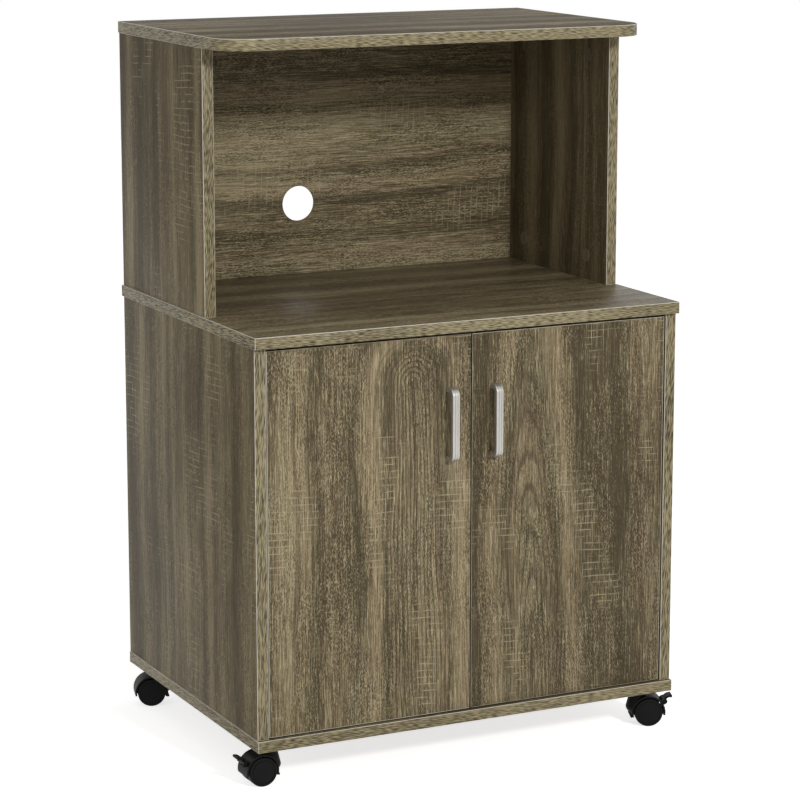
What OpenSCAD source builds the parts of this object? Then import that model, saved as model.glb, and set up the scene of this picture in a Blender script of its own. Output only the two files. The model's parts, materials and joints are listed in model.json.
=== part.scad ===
// Rolling cart for a microwave oven: a two-door cabinet on four twin-wheel casters, with an
// open hutch on its worktop. Millimetres. X to the right, Y to the back, Z up, floor at Z 0.

/* [Boards] */
// Width of the worktop, the widest board
work_w = 600; // [540:5:680]
// Depth of the worktop
work_d = 450; // [420:5:520]
// Thickness of every board
board_t = 15; // [15:0.5:18]
// Clear height of the cabinet, between the bottom board and the worktop
cabinet_h = 495; // [430:5:560]
// How far each side panel stands in from the end of the worktop
side_inset = 1.5; // [0.5:0.5:4]
// How far the front edges of the side panels stand behind the front of the worktop
side_setback = 6.5; // [4:0.5:7.5]
// How far the worktop reaches behind the side panels
back_overhang = 4; // [0:1:10]
// How far each end of the bottom board stands in from the end of the worktop
bottom_inset = 0.5; // [0:0.5:1]
// How far the front of the bottom board stands behind the front of the worktop
bottom_setback = 2; // [0:0.5:4]

/* [Hutch] */
// Height of the hutch's side panels
hutch_h = 338; // [300:2:400]
// Depth of the hutch's side panels
hutch_d = 285; // [240:5:320]
// Depth of the top board, which reaches forward of the hutch's sides
top_d = 360; // [330:5:390]
// Radius of the top board's two front corners
top_corner_r = 45; // [20:5:60]
// Diameter of the cable hole
cable_hole_d = 48; // [35:1:60]
// Distance of the cable hole to the left of the middle
cable_hole_left = 46; // [0:2:120]
// Height of the cable hole's centre above the worktop
cable_hole_h = 97; // [60:1:150]

/* [Back panels] */
// Thickness of the two back panels
back_t = 5; // [3:0.5:6]
// Distance from a back panel to the back edges of the side panels
back_recess = 8; // [6:0.5:12]
// Depth of the grooves that hold the back panels
groove_depth = 6; // [4:0.5:7]
// Clearance of a back panel in its grooves, on each side
groove_gap = 0.2; // [0.1:0.1:0.4]

/* [Doors] */
// Gap between a closed door and the side panel
door_side_gap = 1.5; // [1.5:0.5:3]
// Least gap between a turning door and the side panel
swing_gap = 0.4; // [0.3:0.1:0.6]
// Gap between the two doors
door_middle_gap = 2; // [2:0.5:4]
// Gap above the doors
door_top_gap = 4; // [3:0.5:6]
// Gap below the doors
door_bottom_gap = 1.5; // [1.5:0.5:3]
// How far the doors' faces stand behind the front of the worktop
door_setback = 8; // [7.5:0.5:12]
// Diameter of the hinge pins
pivot_d = 6; // [5:0.5:6.5]
// Outer diameter of the bushes in the doors
bush_d = 10; // [9:0.5:11]
// Depth of the bushes in the doors
bush_depth = 16; // [12:1:20]
// Radial clearance of a hinge pin in its bush
pivot_gap = 0.05; // [0.02:0.01:0.1]

/* [Handles] */
// Overall length of a handle
handle_l = 94; // [86:1:120]
// Width of a handle
handle_w = 10; // [9:0.5:12]
// Thickness of a handle's bar and feet
handle_t = 6; // [5.5:0.5:7]
// How far a handle stands proud of its door
handle_proud = 19; // [18:0.5:24]
// Outer radius of a handle's two bends
handle_bend_r = 10; // [8:0.5:10]
// Distance of a handle's middle from the middle of the cart
handle_x = 31; // [26:1:50]
// Distance of a handle's middle below the top of its door
handle_drop = 112.5; // [60:0.5:200]
// Diameter of the handle screws
handle_screw_d = 3.5; // [3:0.25:4]

/* [Shelf] */
// Height of the shelf's underside above the bottom board
shelf_h = 240; // [200:5:280]
// Distance from the front edges of the sides to the shelf
shelf_setback = 60; // [50:5:90]
// Gap between the shelf and each side panel
shelf_gap = 1; // [0.5:0.5:2]
// Diameter of the shelf pins
shelf_pin_d = 5; // [4:0.5:5]
// Distance between one row of shelf pin holes and the next
shelf_step = 32; // [25:1:40]

/* [Joints between boards] */
// Diameter of the cam locks
cam_d = 15; // [12:0.5:16]
// Depth of the cam locks' holes
cam_depth = 12.5; // [12:0.5:13]
// Distance of a cam lock from the edge that it pulls in
cam_offset = 33; // [30:1:36]
// Distance of a hutch cam lock from the front or back edge of its panel
cam_margin = 55; // [50:1:65]
// The same distance in the cabinet
cabinet_cam_margin = 80; // [75:1:90]
// Diameter of the plastic covers over the cam locks
cover_d = 18; // [17:0.5:20]
// How far a cover stands proud of its panel
cover_proud = 0.8; // [0.6:0.1:0.8]
// Diameter of the cam locks' bolts
bolt_d = 6; // [5:0.5:7]
// Depth of the bolts and dowels in the boards that they fasten
bolt_depth = 11; // [9:0.5:12]
// Diameter of the wooden dowels
dowel_d = 8; // [6:1:8]
// Distance from a front cam lock back to its dowel
dowel_step = 40; // [30:1:45]

/* [Casters] */
// Height of the bottom board's underside above the floor
caster_h = 52; // [50:0.5:60]
// Diameter of the wheels
wheel_d = 38; // [36:0.5:39]
// Width over both wheels of a caster
caster_w = 34; // [32:0.5:38]
// Gap between the two wheels of a caster
wheel_gap = 9; // [8:0.5:10]
// Distance of a wheel axle from the swivel axis
trail = 14; // [13:0.5:15]
// Diameter of the wheel axles
axle_d = 5; // [4:0.5:6]
// Radial clearance of a wheel on its axle
axle_gap = 0.05; // [0.02:0.01:0.1]
// Wall thickness of a hood
hood_t = 2.4; // [2:0.1:3]
// Gap between a hood and the wheels
hood_gap = 1.2; // [1:0.1:1.6]
// Diameter of the swivel pins
kingpin_d = 8; // [7:0.5:9]
// Radial clearance of a swivel pin in its hood
kingpin_gap = 0.05; // [0.02:0.01:0.1]
// Side of the square mounting plates
plate_w = 40; // [38:1:46]
// Thickness of the mounting plates
plate_t = 2.2; // [1.5:0.1:3]
// Distance of a swivel axis from the end of the bottom board
caster_side_inset = 30.5; // [28:0.5:50]
// Distance of a swivel axis from the front or back of the bottom board
caster_end_inset = 38; // [30:1:60]
// Width of the brake levers
lever_w = 14; // [12:0.5:16]
// Angle through which a brake lever turns
lever_swing = 25; // [15:1:25]

/* [Rest angles] */
// Direction in which the front left caster trails
front_left_turn = 180; // [0:1:360]
// Direction in which the front right caster trails
front_right_turn = -22; // [-180:1:180]
// Direction in which the rear left caster trails
rear_left_turn = 164; // [0:1:360]
// Direction in which the rear right caster trails
rear_right_turn = 25; // [-180:1:180]

/* [Hidden] */
$fn = 64;

wood = [0.42, 0.37, 0.30];
pale = [0.78, 0.66, 0.48];
steel = [0.72, 0.72, 0.70];
black = [0.11, 0.11, 0.11];
cut = 0.5;

// Depths, with the outline of the whole cart centred on the origin
reach = handle_proud - door_setback;
work_front = -(work_d - reach) / 2;
work_back = work_front + work_d;
side_front = work_front + side_setback;
side_back = work_back - back_overhang;
bottom_front = work_front + bottom_setback;
door_front = work_front + door_setback;
door_back = door_front + board_t;
hutch_front = side_back - hutch_d;
top_front = side_back - top_d;
back_rear = side_back - back_recess;
back_face = back_rear - back_t;

// Widths
side_out = work_w / 2 - side_inset;
side_in = side_out - board_t;
bottom_half = work_w / 2 - bottom_inset;

// Heights
bottom_top = caster_h + board_t;
work_under = bottom_top + cabinet_h;
work_top = work_under + board_t;
top_under = work_top + hutch_h;

// Doors. The pins stand far enough in for the corners at the hinge side to turn past the panel
turn_gap = door_side_gap - swing_gap;
pivot_inset = max(14, (pow(board_t / 2, 2) - pow(turn_gap, 2)) / (2 * turn_gap));
door_w = side_in - door_side_gap - door_middle_gap / 2;
door_low = bottom_top + door_bottom_gap;
door_high = work_under - door_top_gap;
pivot_x = side_in - door_side_gap - pivot_inset;
pivot_y = door_front + board_t / 2;
pin_seat = 10;
pin_short = 1;
flange_d = bush_d + 3;
flange_t = 1.3;

// Handles and their screws
handle_z = door_high - handle_drop;
foot_z = handle_l / 2 - handle_t / 2;
bend_in_r = handle_bend_r - handle_t;
handle_screw_bite = 7;
screw_head_h = 2.2;
screw_head_d = 8;
rib_x = handle_w * 0.17;
rib_groove_w = 0.9;
rib_groove_t = 0.5;

// Magnetic catch under the worktop, behind the doors
catch_w = 46;
catch_d = 14;
catch_h = 12;
catch_ear = 8;
catch_ear_t = 3;
catch_gap = 0.4;
catch_screw_d = 3;
catch_screw_x = catch_w / 2 + catch_ear / 2;
catch_screw_bite = 9;
magnet_w = 16;
magnet_h = 6;
magnet_d = 9;
strike_t = 1;
strike_w = 20;
strike_h = 11;
strike_x = 13;
strike_screw_d = 2.5;
strike_screw_bite = 9;
catch_front = door_back + strike_t + catch_gap;
magnet_low = work_under - catch_h + 1.5;
strike_z = door_high - strike_h / 2 - 1;

// Shelf
shelf_z = bottom_top + shelf_h;
seat_h = 6;
seat_w = 9;
seat_reach = 9;
shelf_pin_depth = 9;
shelf_pin_z = shelf_z - seat_h / 2;
shelf_front = side_front + shelf_setback;
shelf_back = back_face - 1;
shelf_pin_ys = [shelf_front + 40, shelf_back - 40];

// Joints between boards
cabinet_cam_ys = [side_front + cabinet_cam_margin, side_back - cabinet_cam_margin];
hutch_cam_ys = [hutch_front + cam_margin, side_back - cam_margin];
bolt_x = side_in + board_t / 2;
bolt_bore_d = bolt_d + 2;
bolt_head_d = bolt_d + 0.5;
dowel_hole = 17;
dowel_end_gap = 1;

// Casters, drawn with the swivel axis on Z and the axle on the +X side
wheel_r = wheel_d / 2;
wheel_w = (caster_w - wheel_gap) / 2;
hood_in_r = wheel_r + hood_gap;
hood_out_r = hood_in_r + hood_t;
hood_w = caster_w - 4;
web_t = wheel_gap - 5;
neck_r = hood_w / 2;
bulge_r = 8.5;
bulge_z = wheel_r + 6;
boss_r = kingpin_d / 2 + 6.5;
plate_under = caster_h - plate_t;
boss_top = plate_under - 0.4;
boss_low = boss_top - 6.4;
kingpin_low = wheel_r + hood_in_r;
plate_hole = plate_w / 2 - 5.5;
plate_screw_d = 3.5;
plate_screw_head_d = 7;
plate_screw_head_h = 1.6;
plate_screw_bite = 12;
hub_boss_d = axle_d + 5;
hub_gap = 0.4;
axle_bite = 10;
tread_round = 1.5;
dome_h = 1.2;
dome_edge = wheel_r - 4.5;
dome_r = (pow(dome_edge, 2) + pow(dome_h, 2)) / (2 * dome_h);
rim_w = wheel_w - dome_h;
skirt_back = 198.3;
skirt_front = -10.8;
swivel_x = bottom_half - caster_side_inset;
swivel_front = bottom_front + caster_end_inset;
swivel_back = side_back - caster_end_inset;
fl = [-swivel_x, swivel_front, front_left_turn];
fr = [swivel_x, swivel_front, front_right_turn];
rl = [-swivel_x, swivel_back, rear_left_turn];
rr = [swivel_x, swivel_back, rear_right_turn];

// Brake levers of the front casters
barrel_r = 3;
lever_gap = 0.4;
lever_angle = 31;
lever_r = hood_out_r + barrel_r + lever_gap;
lever_pin_d = 2.5;
lever_pin_gap = 0.05;
lug_t = 3;
lug_r = 3.4;
shoe_t = 2.6;
shoe_l = lever_r - wheel_r - 0.3;
paddle_t = 3;
paddle_r = 7.85;
paddle_rise = 80;
paddle_droop = 5;
paddle_at = paddle_r * [cos(paddle_rise - 90), sin(paddle_rise - 90)];
paddle_from = 90 - paddle_droop;
paddle_to = 90 + paddle_rise;
paddle_tip_r = 2;

// A box between two corners
module block(low, high) {
    translate(low)
        cube([high[0] - low[0], high[1] - low[1], high[2] - low[2]]);
}

// A cylinder along X from x1 to x2
module rod_x(x1, x2, y, z, d) {
    translate([x1, y, z])
        rotate([0, 90, 0])
            cylinder(d = d, h = x2 - x1);
}

// A cylinder along Y from y1 to y2
module rod_y(x, y1, y2, z, d) {
    translate([x, y2, z])
        rotate([90, 0, 0])
            cylinder(d = d, h = y2 - y1);
}

// A cylinder along Z from z1 to z2
module rod_z(x, y, z1, z2, d) {
    translate([x, y, z1])
        cylinder(d = d, h = z2 - z1);
}

// Something on the right, and its mirror image on the left
module both_sides() {
    children();
    mirror([1, 0, 0])
        children();
}

// Something on the left, drawn for the right
module on_left() {
    mirror([1, 0, 0])
        children();
}

// ---- Boards ----

// One side panel of the right-hand side, with its holes and its groove
module side_board(y1, z1, z2, ys) {
    difference() {
        block([side_in, y1, z1], [side_out, side_back, z2]);
        block([side_in - cut, back_face - groove_gap, z1 - cut],
              [side_in + groove_depth, back_rear + groove_gap, z2 + cut]);
        for (y = ys) {
            for (z = [z1 + cam_offset, z2 - cam_offset])
                rod_x(side_in - cut, side_in + cam_depth, y, z, cam_d);
            rod_z(bolt_x, y, z1 - cut, z1 + cam_offset, bolt_bore_d);
            rod_z(bolt_x, y, z2 - cam_offset, z2 + cut, bolt_bore_d);
        }
        for (z = [z1, z2])
            rod_z(bolt_x, ys[0] + dowel_step, z - dowel_hole, z + dowel_hole, dowel_d);
    }
}

// Holes for the bolts and dowels of one pair of side panels, from the face z of a board
// upwards (way 1) or downwards (way -1)
module board_holes(ys, z, way) {
    z1 = way > 0 ? z - cut : z - bolt_depth;
    z2 = way > 0 ? z + bolt_depth : z + cut;
    both_sides() {
        for (y = ys)
            rod_z(bolt_x, y, z1, z2, bolt_d);
        rod_z(bolt_x, ys[0] + dowel_step, z1, z2, dowel_d);
    }
}

// Four screw holes of the caster at c, from z1 to z2
module plate_holes(c, z1, z2) {
    for (i = [-1, 1])
        for (j = [-1, 1])
            rod_z(c[0] + i * plate_hole, c[1] + j * plate_hole, z1, z2, plate_screw_d);
}

module bottom_board() {
    color(wood)
        difference() {
            block([-bottom_half, bottom_front, caster_h], [bottom_half, side_back, bottom_top]);
            board_holes(cabinet_cam_ys, bottom_top, -1);
            both_sides()
                rod_z(pivot_x, pivot_y, bottom_top - pin_seat, bottom_top + cut, pivot_d);
            for (c = [fl, fr, rl, rr])
                plate_holes(c, caster_h - cut, caster_h + plate_screw_bite);
        }
}

// The right-hand side panel of the cabinet, with three rows of shelf pin holes
module cabinet_side() {
    difference() {
        side_board(side_front, bottom_top, work_under, cabinet_cam_ys);
        for (y = shelf_pin_ys)
            for (k = [-1, 0, 1])
                rod_x(side_in - cut, side_in + shelf_pin_depth, y,
                      shelf_pin_z + k * shelf_step, shelf_pin_d);
    }
}

module left_side_panel() {
    color(wood)
        on_left()
            cabinet_side();
}

module right_side_panel() {
    color(wood)
        cabinet_side();
}

module worktop() {
    color(wood)
        difference() {
            block([-work_w / 2, work_front, work_under], [work_w / 2, work_back, work_top]);
            board_holes(cabinet_cam_ys, work_under, 1);
            board_holes(hutch_cam_ys, work_top, -1);
            both_sides() {
                rod_z(pivot_x, pivot_y, work_under - cut, work_under + pin_seat, pivot_d);
                rod_z(catch_screw_x, catch_front + catch_d / 2, work_under - cut,
                      work_under + catch_screw_bite, catch_screw_d);
            }
        }
}

// A back panel in the grooves of two side panels
module back_board(z1, z2) {
    half = side_in + groove_depth - groove_gap;
    block([-half, back_face, z1], [half, back_rear, z2]);
}

module cabinet_back_panel() {
    color(wood)
        back_board(bottom_top, work_under);
}

module hutch_left_side() {
    color(wood)
        on_left()
            side_board(hutch_front, work_top, top_under, hutch_cam_ys);
}

module hutch_right_side() {
    color(wood)
        side_board(hutch_front, work_top, top_under, hutch_cam_ys);
}

module hutch_back_panel() {
    color(wood)
        difference() {
            back_board(work_top, top_under);
            rod_y(-cable_hole_left, back_face - cut, back_rear + cut,
                  work_top + cable_hole_h, cable_hole_d);
        }
}

// Outline of the top board, with its two front corners rounded
module top_outline() {
    r = top_corner_r;
    union() {
        translate([-work_w / 2, top_front + r])
            square([work_w, top_d - r]);
        translate([-work_w / 2 + r, top_front])
            square([work_w - 2 * r, top_d]);
        for (side = [-1, 1])
            translate([side * (work_w / 2 - r), top_front + r])
                circle(r);
    }
}

module top_board() {
    color(wood)
        difference() {
            translate([0, 0, top_under])
                linear_extrude(board_t)
                    top_outline();
            board_holes(hutch_cam_ys, top_under, 1);
        }
}

module adjustable_shelf() {
    color(wood)
        block([-side_in + shelf_gap, shelf_front, shelf_z],
              [side_in - shelf_gap, shelf_back, shelf_z + board_t]);
}

// ---- Fasteners of the boards ----

module shelf_pins() {
    color(steel)
        both_sides()
            for (y = shelf_pin_ys)
                union() {
                    rod_x(side_in - 1, side_in + shelf_pin_depth, y, shelf_pin_z, shelf_pin_d);
                    block([side_in - seat_reach, y - seat_w / 2, shelf_z - seat_h],
                          [side_in, y + seat_w / 2, shelf_z]);
                }
}

// One cam lock, with a slot for the screwdriver and a hole for the bolt on the side of way
module cam_lock(y, z, way) {
    near = z - way * 4;
    far = z + way * (cam_d / 2 + cut);
    difference() {
        rod_x(side_in, side_in + cam_depth, y, z, cam_d);
        rod_z(bolt_x, y, min(near, far), max(near, far), bolt_bore_d);
        block([side_in - cut, y - cam_d / 3, z - 1], [side_in + 1.5, y + cam_d / 3, z + 1]);
    }
}

module cam_locks() {
    color(steel)
        both_sides() {
            for (y = cabinet_cam_ys) {
                cam_lock(y, bottom_top + cam_offset, -1);
                cam_lock(y, work_under - cam_offset, 1);
            }
            for (y = hutch_cam_ys) {
                cam_lock(y, work_top + cam_offset, -1);
                cam_lock(y, top_under - cam_offset, 1);
            }
        }
}

// One bolt: its thread in the board beyond the edge z, its head in the cam lock
module cam_bolt(y, z, way) {
    translate([bolt_x, y, z])
        rotate([way > 0 ? 0 : 180, 0, 0])
            union() {
                cylinder(d = bolt_d, h = bolt_depth);
                translate([0, 0, -cam_offset - 2])
                    cylinder(d = bolt_d - 1.5, h = cam_offset + 3);
                translate([0, 0, -cam_offset - 2])
                    cylinder(d = bolt_head_d, h = 4);
            }
}

module cam_bolts() {
    color(steel)
        both_sides() {
            for (y = cabinet_cam_ys) {
                cam_bolt(y, bottom_top, -1);
                cam_bolt(y, work_under, 1);
            }
            for (y = hutch_cam_ys) {
                cam_bolt(y, work_top, -1);
                cam_bolt(y, top_under, 1);
            }
        }
}

module cam_covers() {
    color(wood)
        both_sides() {
            for (y = cabinet_cam_ys)
                for (z = [bottom_top + cam_offset, work_under - cam_offset])
                    rod_x(side_in - cover_proud, side_in, y, z, cover_d);
            for (y = hutch_cam_ys)
                for (z = [work_top + cam_offset, top_under - cam_offset])
                    rod_x(side_in - cover_proud, side_in, y, z, cover_d);
        }
}

// One dowel through the edge z of a side panel, into the board above (way 1) or below (way -1)
module dowel(y, z, way) {
    long = dowel_hole - dowel_end_gap;
    rod_z(bolt_x, y, z - (way > 0 ? long : bolt_depth), z + (way > 0 ? bolt_depth : long),
          dowel_d);
}

module dowels() {
    color(pale)
        both_sides() {
            dowel(cabinet_cam_ys[0] + dowel_step, bottom_top, -1);
            dowel(cabinet_cam_ys[0] + dowel_step, work_under, 1);
            dowel(hutch_cam_ys[0] + dowel_step, work_top, -1);
            dowel(hutch_cam_ys[0] + dowel_step, top_under, 1);
        }
}

// ---- Doors ----

// The right-hand door
module door_board() {
    difference() {
        block([door_middle_gap / 2, door_front, door_low],
              [door_middle_gap / 2 + door_w, door_back, door_high]);
        rod_z(pivot_x, pivot_y, door_low - cut, door_low + bush_depth, bush_d);
        rod_z(pivot_x, pivot_y, door_high - bush_depth, door_high + cut, bush_d);
        for (z = [handle_z - foot_z, handle_z + foot_z])
            rod_y(handle_x, door_front - cut, door_back + cut, z, handle_screw_d);
        rod_y(strike_x, door_back - strike_screw_bite, door_back + cut, strike_z, strike_screw_d);
    }
}

module left_door() {
    color(wood)
        on_left()
            door_board();
}

module right_door() {
    color(wood)
        door_board();
}

// Two hinge pins on the right, one in the bottom board and one in the worktop
module hinge_pins() {
    rod_z(pivot_x, pivot_y, bottom_top - pin_seat, door_low + bush_depth - pin_short, pivot_d);
    rod_z(pivot_x, pivot_y, door_high - bush_depth + pin_short, work_under + pin_seat, pivot_d);
}

module left_hinge_pins() {
    color(steel)
        on_left()
            hinge_pins();
}

module right_hinge_pins() {
    color(steel)
        hinge_pins();
}

// One bush with its flange downwards, in the frame of its pin
module bush() {
    difference() {
        union() {
            cylinder(d = bush_d, h = bush_depth);
            translate([0, 0, -flange_t])
                cylinder(d = flange_d, h = flange_t);
        }
        translate([0, 0, -flange_t - cut])
            cylinder(d = pivot_d + 2 * pivot_gap, h = bush_depth + flange_t + 2 * cut);
    }
}

// Two bushes of the right-hand door
module hinge_bushes() {
    translate([pivot_x, pivot_y, door_low])
        bush();
    translate([pivot_x, pivot_y, door_high])
        rotate([180, 0, 0])
            bush();
}

module left_hinge_bushes() {
    color(black)
        on_left()
            hinge_bushes();
}

module right_hinge_bushes() {
    color(black)
        hinge_bushes();
}

// ---- Handles ----

// Section of a handle: X is the distance from the middle of a bend, Y the width; three ribs
// run along the outer side
module handle_section() {
    r = 1;
    half = handle_w / 2;
    difference() {
        union() {
            translate([bend_in_r, -half + r])
                square([handle_t, handle_w - 2 * r]);
            translate([bend_in_r + r, -half])
                square([handle_t - 2 * r, handle_w]);
            for (x = [bend_in_r + r, handle_bend_r - r])
                for (y = [-half + r, half - r])
                    translate([x, y])
                        circle(r);
        }
        for (y = [-rib_x, rib_x])
            translate([handle_bend_r - rib_groove_t, y - rib_groove_w / 2])
                square([rib_groove_t + cut, rib_groove_w]);
    }
}

// Upper half of a handle, in the frame of its middle on the door's face
module handle_half() {
    bend_y = -handle_proud + handle_bend_r;
    bend_z = handle_l / 2 - handle_bend_r;
    translate([0, bend_y, 0])
        rotate([0, 0, -90])
            linear_extrude(bend_z)
                handle_section();
    translate([0, bend_y, bend_z])
        rotate([90, 0, -90])
            rotate_extrude(angle = 90)
                handle_section();
    translate([0, 0, bend_z])
        rotate([90, 0, 0])
            rotate([0, 0, 90])
                linear_extrude(handle_proud - handle_bend_r)
                    handle_section();
}

// The right-hand handle, with a blind screw hole in each foot
module handle() {
    translate([handle_x, door_front, handle_z])
        difference() {
            union() {
                handle_half();
                mirror([0, 0, 1])
                    handle_half();
            }
            for (z = [-foot_z, foot_z])
                rod_y(0, -handle_screw_bite, cut, z, handle_screw_d);
        }
}

module left_handle() {
    color(steel)
        on_left()
            handle();
}

module right_handle() {
    color(steel)
        handle();
}

// Two screws of the right-hand handle, put in from the back of the door
module handle_screws() {
    for (z = [handle_z - foot_z, handle_z + foot_z])
        union() {
            rod_y(handle_x, door_front - handle_screw_bite, door_back + 1, z, handle_screw_d);
            rod_y(handle_x, door_back, door_back + screw_head_h, z, screw_head_d);
        }
}

module left_handle_screws() {
    color(steel)
        on_left()
            handle_screws();
}

module right_handle_screws() {
    color(steel)
        handle_screws();
}

// ---- Magnetic catch ----

module catch_body() {
    color(black)
        difference() {
            union() {
                block([-catch_w / 2, catch_front, work_under - catch_h],
                      [catch_w / 2, catch_front + catch_d, work_under]);
                block([-catch_w / 2 - catch_ear, catch_front, work_under - catch_ear_t],
                      [catch_w / 2 + catch_ear, catch_front + catch_d, work_under]);
            }
            both_sides() {
                block([strike_x - magnet_w / 2, catch_front - cut, magnet_low],
                      [strike_x + magnet_w / 2, catch_front + magnet_d, magnet_low + magnet_h]);
                rod_z(catch_screw_x, catch_front + catch_d / 2, work_under - catch_ear_t - cut,
                      work_under + cut, catch_screw_d);
            }
        }
}

module catch_magnets() {
    color(steel)
        both_sides()
            block([strike_x - magnet_w / 2, catch_front, magnet_low],
                  [strike_x + magnet_w / 2, catch_front + magnet_d, magnet_low + magnet_h]);
}

module catch_screws() {
    y = catch_front + catch_d / 2;
    low = work_under - catch_ear_t;
    color(steel)
        both_sides()
            union() {
                rod_z(catch_screw_x, y, low - 1, work_under + catch_screw_bite, catch_screw_d);
                rod_z(catch_screw_x, y, low - 1.6, low, catch_screw_d + 2.5);
            }
}

// Strike plate of the right-hand door, with a sunk hole for its screw
module strike_plate() {
    difference() {
        block([strike_x - strike_w / 2, door_back, strike_z - strike_h / 2],
              [strike_x + strike_w / 2, door_back + strike_t, strike_z + strike_h / 2]);
        translate([strike_x, door_back, strike_z])
            rotate([-90, 0, 0])
                cylinder(d1 = strike_screw_d, d2 = strike_screw_d * 2, h = strike_t);
    }
}

module left_strike_plate() {
    color(steel)
        on_left()
            strike_plate();
}

module right_strike_plate() {
    color(steel)
        strike_plate();
}

// Screw of the right-hand strike plate, flush with it
module strike_screw() {
    union() {
        rod_y(strike_x, door_back - strike_screw_bite, door_back, strike_z, strike_screw_d);
        translate([strike_x, door_back, strike_z])
            rotate([-90, 0, 0])
                cylinder(d1 = strike_screw_d, d2 = strike_screw_d * 2, h = strike_t);
    }
}

module left_strike_screw() {
    color(steel)
        on_left()
            strike_screw();
}

module right_strike_screw() {
    color(steel)
        strike_screw();
}

// ---- Casters ----

// Something of the caster at c, drawn with the swivel axis on Z and the axle on the +X side
module at_caster(c) {
    translate([c[0], c[1], 0])
        rotate([0, 0, c[2]])
            children();
}

// A side view drawn from the axle, spread from y1 to y2
module spread(y1, y2) {
    translate([trail, y2, wheel_r])
        rotate([90, 0, 0])
            linear_extrude(y2 - y1)
                children();
}

module caster_plates() {
    color(steel)
        for (c = [fl, fr, rl, rr])
            difference() {
                block([c[0] - plate_w / 2, c[1] - plate_w / 2, plate_under],
                      [c[0] + plate_w / 2, c[1] + plate_w / 2, caster_h]);
                plate_holes(c, plate_under - cut, caster_h + cut);
                rod_z(c[0], c[1], plate_under - cut, caster_h + cut, kingpin_d);
            }
}

module caster_screws() {
    color(steel)
        for (c = [fl, fr, rl, rr])
            for (i = [-1, 1])
                for (j = [-1, 1])
                    translate([c[0] + i * plate_hole, c[1] + j * plate_hole, 0])
                        union() {
                            rod_z(0, 0, plate_under - 1, caster_h + plate_screw_bite,
                                  plate_screw_d);
                            rod_z(0, 0, plate_under - plate_screw_head_h, plate_under,
                                  plate_screw_head_d);
                        }
}

module swivel_pins() {
    color(steel)
        for (c = [fl, fr, rl, rr])
            rod_z(c[0], c[1], kingpin_low, caster_h, kingpin_d);
}

// Roof of a hood over both wheels, with the flared tip on the side of the swivel pin
module hood_shell() {
    intersection() {
        spread(-hood_w / 2, hood_w / 2)
            union() {
                circle(hood_out_r);
                translate([-hood_out_r + 0.2, -6.2])
                    circle(1.8);
            }
        linear_extrude(caster_h)
            union() {
                circle(neck_r);
                translate([0, -neck_r])
                    square([trail + 2 * hood_out_r, 2 * neck_r]);
            }
    }
}

// Neck round the swivel pin: a cone that runs up to the boss and rounds off below
module hood_neck() {
    rotate_extrude()
        union() {
            polygon([[0, bulge_z], [neck_r, bulge_z], [boss_r, boss_low], [boss_r, boss_top],
                     [0, boss_top]]);
            translate([0, bulge_z - bulge_r])
                square([neck_r - bulge_r, bulge_r]);
            intersection() {
                translate([neck_r - bulge_r, bulge_z])
                    circle(bulge_r);
                translate([0, bulge_z - bulge_r])
                    square([neck_r, bulge_r]);
            }
        }
}

// What is cut off below a hood, as a side view from the axle
module below_skirt() {
    far = 70;
    polygon([[0, 0], [far * cos(skirt_back), far * sin(skirt_back)], [-far, -far], [far, -far],
             [far * cos(skirt_front), far * sin(skirt_front)]]);
}

// Lugs for the lever pin, as a side view from the axle
module lug_side() {
    rotate(lever_angle)
        union() {
            translate([lever_r, 0])
                circle(lug_r);
            translate([hood_in_r + 0.6, -lug_r])
                square([lever_r - hood_in_r - 0.6, 2 * lug_r]);
        }
}

// A hood; the braked kind has two lugs and a slot for its lever
module hood(braked) {
    slot = lever_w / 2 + lever_gap;
    difference() {
        union() {
            difference() {
                union() {
                    hood_shell();
                    hood_neck();
                }
                for (side = [-1, 1])
                    translate([trail, side * (web_t + hood_w) / 2, wheel_r])
                        rotate([90, 0, 0])
                            cylinder(r = hood_in_r, h = hood_w, center = true);
                spread(-hood_w, hood_w)
                    below_skirt();
            }
            spread(-wheel_gap / 2 + hub_gap, wheel_gap / 2 - hub_gap)
                circle(d = hub_boss_d);
            if (braked)
                for (y = [-slot - lug_t, slot])
                    spread(y, y + lug_t)
                        lug_side();
        }
        spread(-wheel_gap, wheel_gap)
            circle(d = axle_d);
        rod_z(0, 0, kingpin_low - cut, boss_top + cut, kingpin_d + 2 * kingpin_gap);
        if (braked) {
            spread(-slot, slot)
                rotate(lever_angle)
                    translate([wheel_r - 0.6, -5.4])
                        square([hood_out_r - wheel_r + 2, 7.8]);
            spread(-hood_w, hood_w)
                rotate(lever_angle)
                    translate([lever_r, 0])
                        circle(d = lever_pin_d);
        }
    }
}

module front_left_hood() {
    color(black)
        at_caster(fl)
            hood(true);
}

module front_right_hood() {
    color(black)
        at_caster(fr)
            hood(true);
}

module rear_left_hood() {
    color(black)
        at_caster(rl)
            hood(false);
}

module rear_right_hood() {
    color(black)
        at_caster(rr)
            hood(false);
}

module axle() {
    spread(-wheel_gap / 2 - axle_bite, wheel_gap / 2 + axle_bite)
        circle(d = axle_d);
}

module front_left_axle() {
    color(steel)
        at_caster(fl)
            axle();
}

module front_right_axle() {
    color(steel)
        at_caster(fr)
            axle();
}

module rear_left_axle() {
    color(steel)
        at_caster(rl)
            axle();
}

module rear_right_axle() {
    color(steel)
        at_caster(rr)
            axle();
}

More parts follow.
